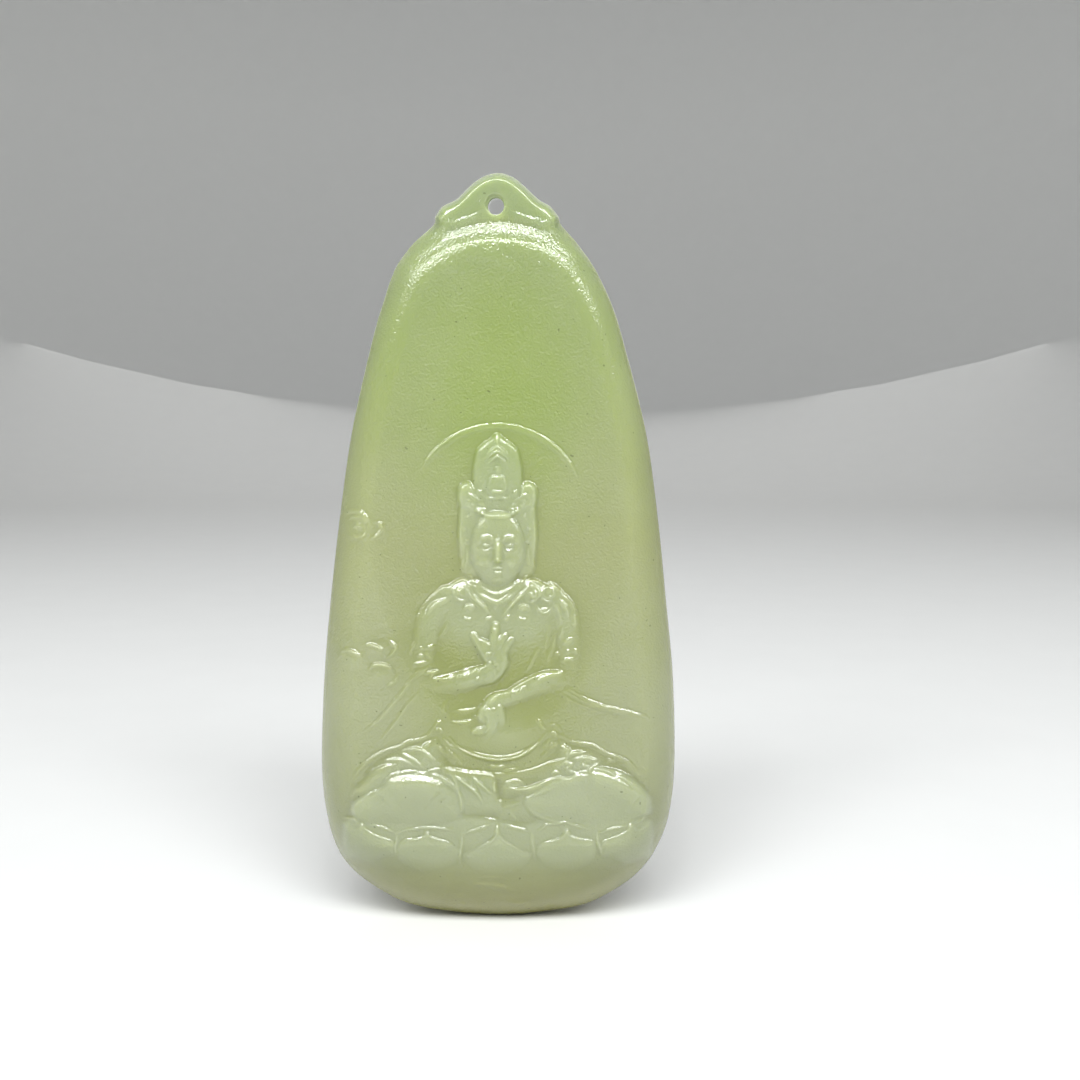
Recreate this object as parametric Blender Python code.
"""A carved jade pendant: a bell-shaped plaque with a pierced crest, and a seated figure in relief.

The stone hangs upright from its cord hole. +Z is up and the carved face looks along -Y.
Heights are measured from the foot of the stone; the row's origin is the centre of the cord hole.
Widths are measured from the plaque's middle line, +X to the right of someone facing the carving.
"""

import math

import bmesh
import bpy

MM = 0.001

# Driving dimensions, in millimetres
HEIGHT = 90.0
HALF_WIDTH = 21.8
HOLE_HEIGHT = 86.1
HOLE_DIAMETER = 1.9
CREST_THICKNESS = 4.5
BACK_Y = 5.0
FRONT_Y = -3.5
EDGE_ROUND = 3.0
GAP = 0.3
FIGURE_X = -0.35

# The scooped niche is the near cap of an ellipsoid that stands in front of the stone
NICHE_HEIGHT = 52.0
NICHE_RADII = (21.4, 8.7, 44.0)
NICHE_CENTRE_Y = FRONT_Y - 6.0

# How far forward each layer of the carving stands
TORSO_FRONT = -4.3
CROWN_FRONT = -3.8
RIBBON_FRONT = -4.4
BAND_FRONT = -5.3
PETAL_FRONT = -6.8
LEG_FRONT = -7.2
DEEP_Y = 1.0

JADE_COLOUR = (0.42, 0.52, 0.24, 1.0)
JADE_ROUGHNESS = 0.22

# The lotus petals, (left, right, foot, tip)
PETALS = [
    (-18.3, -13.2, 6.9, 11.3),
    (-12.9, -5.1, 5.4, 10.8),
    (-4.8, 4.1, 5.3, 11.2),
    (4.4, 12.1, 5.4, 10.8),
    (12.4, 17.7, 6.9, 11.3),
]

# Half of the plaque's outline, (half width, height), from the foot to the top
PLAQUE_SIDE = [
    (6.0, 0.45),
    (12.0, 2.0),
    (17.0, 4.9),
    (20.1, 9.7),
    (21.5, 15.5),
    (HALF_WIDTH, 20.5),
    (21.3, 28.0),
    (20.2, 40.0),
    (18.6, 52.0),
    (16.8, 62.0),
    (14.5, 71.5),
    (11.9, 78.5),
    (9.0, 82.6),
    (5.0, 84.3),
]
PLAQUE_TOP = 84.8

# Half of the crest's outline, down to where it goes behind the plaque's top
CREST_SIDE = [
    (2.0, 89.45),
    (3.3, 88.35),
    (4.6, 87.0),
    (6.2, 86.25),
    (7.1, 85.2),
    (7.5, 83.9),
    (6.0, 82.0),
]


def clear_scene():
    for obj in list(bpy.data.objects):
        bpy.data.objects.remove(obj, do_unlink=True)


def new_collection(name):
    collection = bpy.data.collections.new(name)
    bpy.context.scene.collection.children.link(collection)
    return collection


def make_jade():
    material = bpy.data.materials.new("jade")
    material.use_nodes = True
    shader = material.node_tree.nodes["Principled BSDF"]
    shader.inputs["Base Color"].default_value = JADE_COLOUR
    shader.inputs["Roughness"].default_value = JADE_ROUGHNESS
    shader.inputs["Metallic"].default_value = 0.0
    return material


clear_scene()
STONE = new_collection("jade_pendant")
CUTTERS = new_collection("cutters")
JADE = make_jade()

FOOT = bpy.data.objects.new("stone_foot", None)
STONE.objects.link(FOOT)
FOOT.location = (0, 0, -HOLE_HEIGHT * MM)


def finish(obj, name, cutter):
    """Puts a shape on the stone as a named part, or hides it with the cutters."""
    obj.name = name + "_cutter" if cutter else name
    (CUTTERS if cutter else STONE).objects.link(obj)
    obj.parent = FOOT
    if cutter:
        obj.hide_render = True
        obj.display_type = "WIRE"
    else:
        obj.data.materials.append(JADE)
        obj.data.shade_smooth()
        obj.data.set_sharp_from_angle(angle=math.radians(35))
    return obj


def mesh_of(curve_object):
    """The closed mesh of a curve object, whose caps are welded to its sides. The curve is removed."""
    bpy.context.scene.collection.objects.link(curve_object)
    bpy.context.view_layer.update()
    graph = bpy.context.evaluated_depsgraph_get()
    mesh = bpy.data.meshes.new_from_object(curve_object.evaluated_get(graph))
    shape = bmesh.new()
    shape.from_mesh(mesh)
    shape.transform(curve_object.matrix_world)
    bmesh.ops.remove_doubles(shape, verts=shape.verts, dist=1e-6)
    bmesh.ops.recalc_face_normals(shape, faces=shape.faces)
    shape.to_mesh(mesh)
    shape.free()
    bpy.data.objects.remove(curve_object, do_unlink=True)
    return bpy.data.objects.new("shape", mesh)


def smooth_spline(curve, points, closed, sharp=()):
    """A Bezier spline through points in mm, smooth except at the numbered sharp ones."""
    spline = curve.splines.new("BEZIER")
    spline.bezier_points.add(len(points) - 1)
    for index, (knot, point) in enumerate(zip(spline.bezier_points, points)):
        knot.co = [value * MM for value in point]
        handle = "VECTOR" if index in sharp else "AUTO"
        knot.handle_left_type = knot.handle_right_type = handle
    spline.use_cyclic_u = closed
    return spline


def slab(outline, back, front, rounding, grow=0.0, steps=2, sharp=()):
    """A plate with a rounded edge: a flat outline of (x, height) between two depths."""
    curve = bpy.data.curves.new("outline", "CURVE")
    curve.dimensions = "2D"
    curve.fill_mode = "BOTH"
    curve.resolution_u = steps
    smooth_spline(curve, [(x, z, 0) for x, z in outline], True, sharp)
    curve.bevel_depth = rounding * MM
    curve.bevel_resolution = 2
    curve.offset = (grow - rounding) * MM
    curve.extrude = ((back - front) / 2 + grow - rounding) * MM
    obj = bpy.data.objects.new("outline", curve)
    obj.location.y = (back + front) / 2 * MM
    obj.rotation_euler.x = math.pi / 2
    return mesh_of(obj)


def tube(path, radii, grow=0.0, steps=5):
    """A round bar along (x, y, height) points, with its own radius at each."""
    curve = bpy.data.curves.new("path", "CURVE")
    curve.dimensions = "3D"
    curve.resolution_u = steps
    curve.bevel_depth = MM
    curve.bevel_resolution = 2
    curve.use_fill_caps = True
    spline = smooth_spline(curve, path, False)
    for knot, radius in zip(spline.bezier_points, radii):
        knot.radius = radius + grow
    return mesh_of(bpy.data.objects.new("path", curve))


def ellipsoid(centre, radii, grow=0.0, segments=24, rings=14):
    mesh = bpy.data.meshes.new("ellipsoid")
    shape = bmesh.new()
    bmesh.ops.create_uvsphere(shape, u_segments=segments, v_segments=rings, radius=1.0)
    bmesh.ops.scale(shape, verts=shape.verts, vec=[(r + grow) * MM for r in radii])
    bmesh.ops.translate(shape, verts=shape.verts, vec=[c * MM for c in centre])
    shape.to_mesh(mesh)
    shape.free()
    return bpy.data.objects.new("shape", mesh)


def boolean(target, other, operation="DIFFERENCE"):
    modifier = target.modifiers.new(operation.lower(), "BOOLEAN")
    modifier.operation = operation
    modifier.object = other
    modifier.solver = "EXACT"


def join(target, *others):
    """Makes one body of shapes that run into each other."""
    for number, other in enumerate(others):
        finish(other, f"{target.name}_{number}", cutter=True)
        boolean(target, other, "UNION")


def mirrored(side, *middle):
    """A closed outline from its right half, with the points on the middle line given last to first."""
    left = [(-x, z) for x, z in reversed(side)]
    return [middle[0], *side, *middle[1:], *left]


def niche_floor(x, height):
    """How far forward the floor of the niche lies, or the plaque's face outside it."""
    a, depth, c = NICHE_RADII
    inside = 1 - (x / a) ** 2 - ((height - NICHE_HEIGHT) / c) ** 2
    return max(NICHE_CENTRE_Y + depth * math.sqrt(max(inside, 0)), FRONT_Y)


# ---------------------------------------------------------------- the plaque and its crest


def plaque_shape(grow=0.0):
    outline = mirrored(PLAQUE_SIDE, (0, 0), (0, PLAQUE_TOP))
    return slab(outline, BACK_Y, FRONT_Y, EDGE_ROUND, grow, steps=3)


def scoop_niche(target, name):
    scoop = ellipsoid((0, NICHE_CENTRE_Y, NICHE_HEIGHT), NICHE_RADII, segments=40, rings=24)
    boolean(target, finish(scoop, name, cutter=True))


def make_plaque():
    plaque = finish(plaque_shape(), "plaque", cutter=False)
    scoop_niche(plaque, "niche")
    return plaque


def make_seat():
    """The plaque again, a gap further forward: what is cut from every part that lies on it."""
    seat = finish(plaque_shape(), "seat", cutter=True)
    scoop_niche(seat, "seat_niche")
    seat.location.y = -GAP * MM
    return seat


def make_crest():
    half = CREST_THICKNESS / 2
    outline = mirrored(CREST_SIDE, (0, HEIGHT), (0, 81.5))
    crest = finish(slab(outline, half, -half, 0.7), "crest", cutter=False)
    boolean(crest, finish(plaque_shape(GAP), "crest_foot", cutter=True))
    mesh = bpy.data.meshes.new("drill")
    shape = bmesh.new()
    bmesh.ops.create_cone(
        shape,
        cap_ends=True,
        segments=24,
        radius1=HOLE_DIAMETER / 2 * MM,
        radius2=HOLE_DIAMETER / 2 * MM,
        depth=3 * CREST_THICKNESS * MM,
    )
    shape.to_mesh(mesh)
    shape.free()
    drill = finish(bpy.data.objects.new("shape", mesh), "drill", cutter=True)
    drill.rotation_euler.x = math.pi / 2
    drill.location.z = HOLE_HEIGHT * MM
    boolean(crest, drill)
    return crest


# ---------------------------------------------------------------- shapes of the carving


def halo_shape(grow=0.0):
    """The upper part of a ring behind the head, following the niche's floor."""
    centre_height, radius, lift, thickness = 49.5, 11.2, 0.3, 0.5
    first, last, count = math.radians(-18), math.radians(198), 13
    path = []
    for step in range(count):
        angle = first + (last - first) * step / (count - 1)
        x = FIGURE_X + radius * math.cos(angle)
        z = centre_height + radius * math.sin(angle)
        path.append((x, niche_floor(x, z) - lift, z))
    return tube(path, [thickness] * count, grow, steps=3)


def head_shape(grow=0.0):
    return ellipsoid((FIGURE_X, -1.4, 45.9), (3.35, 3.0, 4.9), grow)


def ear_shape(side, grow=0.0):
    x = FIGURE_X + side * 3.75
    path = [(x, -1.5, 51.2), (x + side * 0.35, -1.6, 47.5), (x + side * 0.1, -1.6, 43.4)]
    return tube(path, [0.7, 0.95, 0.6], grow, steps=4)


def crown_shape(grow=0.0):
    half = [(1.0, 58.6), (2.5, 57.3), (3.1, 55.4), (3.0, 53.7), (4.3, 53.5), (4.4, 52.3), (3.4, 50.6)]
    outline = [(FIGURE_X + x, z) for x, z in mirrored(half, (0, 59.5), (0, 50.1))]
    return slab(outline, DEEP_Y, CROWN_FRONT, 0.6, grow, sharp=(0,))


def torso_shape(grow=0.0):
    outline = [
        (FIGURE_X, 42.6),
        (1.8, 42.0),
        (3.6, 41.0),
        (6.4, 40.2),
        (7.0, 37.5),
        (6.0, 33.0),
        (4.8, 28.0),
        (5.3, 23.6),
        (3.6, 21.3),
        (0.0, 20.4),
        (-4.0, 21.3),
        (-6.3, 23.6),
        (-5.7, 28.0),
        (-6.7, 33.0),
        (-7.6, 37.5),
        (-7.0, 40.2),
        (-4.3, 41.0),
        (-2.5, 42.0),
    ]
    return slab(outline, DEEP_Y, TORSO_FRONT, 1.2, grow)


def necklace_shape(grow=0.0):
    y = TORSO_FRONT - 0.15
    path = [(-4.3, y, 40.6), (-2.5, y, 38.9), (FIGURE_X, y, 37.3), (1.9, y, 38.9), (3.6, y, 40.6)]
    return tube(path, [0.4, 0.5, 0.65, 0.5, 0.4], grow, steps=4)


def right_arm_shape(grow=0.0):
    """The wearer's right arm, on the left of the carving, bent up to the chest."""
    path = [
        (-7.0, -2.6, 39.6),
        (-9.0, -2.9, 36.0),
        (-9.9, -3.3, 31.6),
        (-7.6, -4.0, 29.9),
        (-4.6, -4.5, 29.9),
        (-2.4, -4.9, 30.2),
    ]
    return tube(path, [1.6, 1.9, 1.8, 1.4, 1.2, 0.95], grow)


def left_arm_shape(grow=0.0):
    """The wearer's left arm, on the right of the carving, laid across the lap."""
    path = [
        (6.9, -2.6, 39.6),
        (8.6, -2.9, 35.6),
        (8.7, -3.4, 31.2),
        (6.4, -4.0, 29.6),
        (3.4, -4.5, 28.6),
        (1.0, -4.9, 27.6),
    ]
    return tube(path, [1.6, 1.8, 1.8, 1.4, 1.2, 0.95], grow)


def right_hand_shapes(grow=0.0):
    """The raised palm and its fingers, palm first."""
    palm = ellipsoid((-0.6, -5.0, 32.0), (1.25, 0.8, 1.9), grow, 16, 10)
    tips = [(-2.6, 35.0), (-0.7, 36.6), (0.3, 35.0), (1.0, 34.4)]
    fingers = [
        tube([(-0.6, -5.0, 32.4), (x * 0.6 - 0.2, -5.2, z - 1.4), (x, -5.0, z)], [0.5, 0.45, 0.3], grow, 3)
        for x, z in tips
    ]
    return [palm, *fingers]


def left_hand_shapes(grow=0.0):
    """The lowered hand, palm down, with its fingers hanging over the waist."""
    palm = ellipsoid((-0.9, -4.9, 26.2), (1.3, 0.8, 1.7), grow, 16, 10)
    tips = [(-2.9, 23.8), (-2.0, 22.6), (-1.1, 22.9)]
    fingers = [
        tube([(-0.9, -4.9, 26.0), (x * 0.7, -5.1, z + 1.3), (x, -4.8, z)], [0.55, 0.5, 0.3], grow, 3)
        for x, z in tips
    ]
    return [palm, *fingers]


def waistband_shape(grow=0.0):
    outline = [
        (-6.6, 22.9),
        (-4.6, 21.2),
        (-2.2, 20.3),
        (0.0, 20.0),
        (2.4, 20.4),
        (4.4, 21.4),
        (5.9, 23.2),
        (7.2, 22.4),
        (5.4, 20.2),
        (2.8, 19.0),
        (0.0, 18.6),
        (-3.2, 18.8),
        (-5.8, 19.8),
        (-8.0, 22.0),
    ]
    return slab(outline, DEEP_Y, -5.2, 0.4, grow)


def right_leg_shape(grow=0.0):
    """The folded leg on the left of the carving, under its robe."""
    outline = [
        (-19.0, 15.2),
        (-17.2, 18.7),
        (-14.6, 20.7),
        (-11.8, 21.6),
        (-9.6, 22.4),
        (-8.3, 20.5),
        (-5.6, 19.0),
        (-0.8, 18.2),
        (-0.8, 12.5),
        (-8.0, 12.0),
        (-16.6, 12.6),
    ]
    return slab(outline, DEEP_Y, LEG_FRONT, 2.0, grow)


def left_leg_shape(grow=0.0):
    """The folded leg on the right of the carving, under its robe."""
    outline = [
        (-0.1, 18.2),
        (5.0, 18.9),
        (7.6, 20.5),
        (8.9, 22.3),
        (12.0, 21.5),
        (14.8, 20.1),
        (17.2, 17.7),
        (18.2, 15.0),
        (16.2, 12.7),
        (8.0, 12.0),
        (0.0, 12.5),
    ]
    return slab(outline, DEEP_Y, LEG_FRONT, 2.0, grow)


def lotus_band_shape(grow=0.0):
    """The band of the seat that shows between the petals and the robe."""
    outline = [
        (-19.4, 12.4),
        (-13.0, 11.6),
        (-6.5, 11.5),
        (FIGURE_X, 11.8),
        (6.0, 11.5),
        (12.2, 11.6),
        (18.7, 12.4),
        (18.4, 9.6),
        (FIGURE_X, 7.6),
        (-19.1, 9.6),
    ]
    return slab(outline, DEEP_Y, BAND_FRONT, 0.5, grow)


def petal_shape(left, right, foot, tip, grow=0.0):
    """One lotus petal: straight sides, round foot, and an ogee top that rises to a point."""
    middle = (left + right) / 2
    corner = foot + 0.3 * (tip - foot)
    shoulder = foot + 0.62 * (tip - foot)
    outline = [
        (middle, tip),
        (middle + 0.9, tip - 0.9),
        (right - 1.1, shoulder + 0.7),
        (right, shoulder - 0.3),
        (right, corner),
        (right - 1.4, foot + 0.2),
        (middle, foot),
        (left + 1.4, foot + 0.2),
        (left, corner),
        (left, shoulder - 0.3),
        (left + 1.1, shoulder + 0.7),
        (middle - 0.9, tip - 0.9),
    ]
    return slab(outline, DEEP_Y, PETAL_FRONT, 0.8, grow, sharp=(0,))


def right_scarf_shape(grow=0.0):
    outline = [
        (-9.2, 31.2),
        (-11.6, 29.6),
        (-14.0, 26.0),
        (-17.2, 23.0),
        (-15.6, 21.9),
        (-12.6, 24.4),
        (-10.2, 28.2),
    ]
    return slab(outline, DEEP_Y, RIBBON_FRONT, 0.5, grow)


def left_scarf_shape(grow=0.0):
    outline = [
        (8.2, 29.0),
        (11.0, 27.4),
        (14.2, 26.2),
        (17.2, 25.5),
        (20.2, 22.9),
        (20.6, 20.6),
        (19.2, 22.6),
        (16.8, 24.2),
        (12.6, 25.2),
        (8.6, 27.4),
    ]
    return slab(outline, DEEP_Y, RIBBON_FRONT, 0.5, grow)


def cloud_shape(lobes, front, grow=0.0):
    """A scrolled cloud: a closed outline of round lobes."""
    return slab(lobes, DEEP_Y, front, 0.6, grow)


UPPER_CLOUD = [(-18.4, 50.4), (-16.6, 50.5), (-15.4, 49.3), (-14.2, 48.9), (-15.0, 47.5), (-17.0, 47.0), (-18.3, 48.0)]
LOWER_CLOUD = [
    (-19.6, 33.2),
    (-18.2, 33.7),
    (-16.9, 33.0),
    (-16.2, 34.4),
    (-14.4, 34.9),
    (-12.8, 34.2),
    (-12.7, 32.6),
    (-12.6, 30.6),
    (-13.6, 29.2),
    (-15.6, 29.8),
    (-16.4, 31.2),
    (-18.2, 31.0),
    (-19.7, 31.8),
]


# ---------------------------------------------------------------- assembly


def place(name, shapes, seat):
    """A part of the carving: its shapes made one body and seated on the plaque."""
    first, *others = shapes if isinstance(shapes, list) else [shapes]
    part = finish(first, name, cutter=False)
    join(part, *others)
    boolean(part, seat)
    return part


def clear_of(part, *shapes):
    """Cuts a part back from its neighbours, whose shapes are given grown by the gap."""
    for number, shape in enumerate(shapes):
        boolean(part, finish(shape, f"{part.name}_clear_{number}", cutter=True))


def build():
    make_plaque()
    make_crest()
    seat = make_seat()

    place("halo", halo_shape(), seat)

    head = place("head", [head_shape(), ear_shape(-1), ear_shape(1)], seat)
    clear_of(head, crown_shape(GAP))
    place("crown", crown_shape(), seat)

    torso = place("torso", torso_shape(), seat)
    clear_of(torso, head_shape(GAP), ear_shape(-1, GAP), ear_shape(1, GAP), necklace_shape(GAP))
    clear_of(torso, right_arm_shape(GAP), left_arm_shape(GAP), waistband_shape(GAP))
    clear_of(torso, *right_hand_shapes(GAP), *left_hand_shapes(GAP))
    place("necklace", necklace_shape(), seat)

    right_arm = place("right_arm", right_arm_shape(), seat)
    clear_of(right_arm, *right_hand_shapes(GAP))
    left_arm = place("left_arm", left_arm_shape(), seat)
    clear_of(left_arm, *left_hand_shapes(GAP))
    place("right_hand", right_hand_shapes(), seat)
    place("left_hand", left_hand_shapes(), seat)

    waistband = place("waistband", waistband_shape(), seat)
    clear_of(waistband, *left_hand_shapes(GAP))
    right_leg = place("right_leg", right_leg_shape(), seat)
    clear_of(right_leg, waistband_shape(GAP), torso_shape(GAP))
    left_leg = place("left_leg", left_leg_shape(), seat)
    clear_of(left_leg, waistband_shape(GAP), torso_shape(GAP), right_leg_shape(GAP))

    band = place("lotus_band", lotus_band_shape(), seat)
    clear_of(band, right_leg_shape(GAP), left_leg_shape(GAP))
    for number, petal_size in enumerate(PETALS, start=1):
        petal = place(f"lotus_petal_{number}", petal_shape(*petal_size), seat)
        clear_of(petal, lotus_band_shape(GAP), right_leg_shape(GAP), left_leg_shape(GAP))

    right_scarf = place("right_scarf", right_scarf_shape(), seat)
    clear_of(right_scarf, right_arm_shape(GAP), right_leg_shape(GAP))
    left_scarf = place("left_scarf", left_scarf_shape(), seat)
    clear_of(left_scarf, left_arm_shape(GAP), left_leg_shape(GAP))

    place("upper_cloud", cloud_shape(UPPER_CLOUD, -3.9), seat)
    lower_cloud = place("lower_cloud", cloud_shape(LOWER_CLOUD, RIBBON_FRONT), seat)
    clear_of(lower_cloud, right_scarf_shape(GAP))


build()
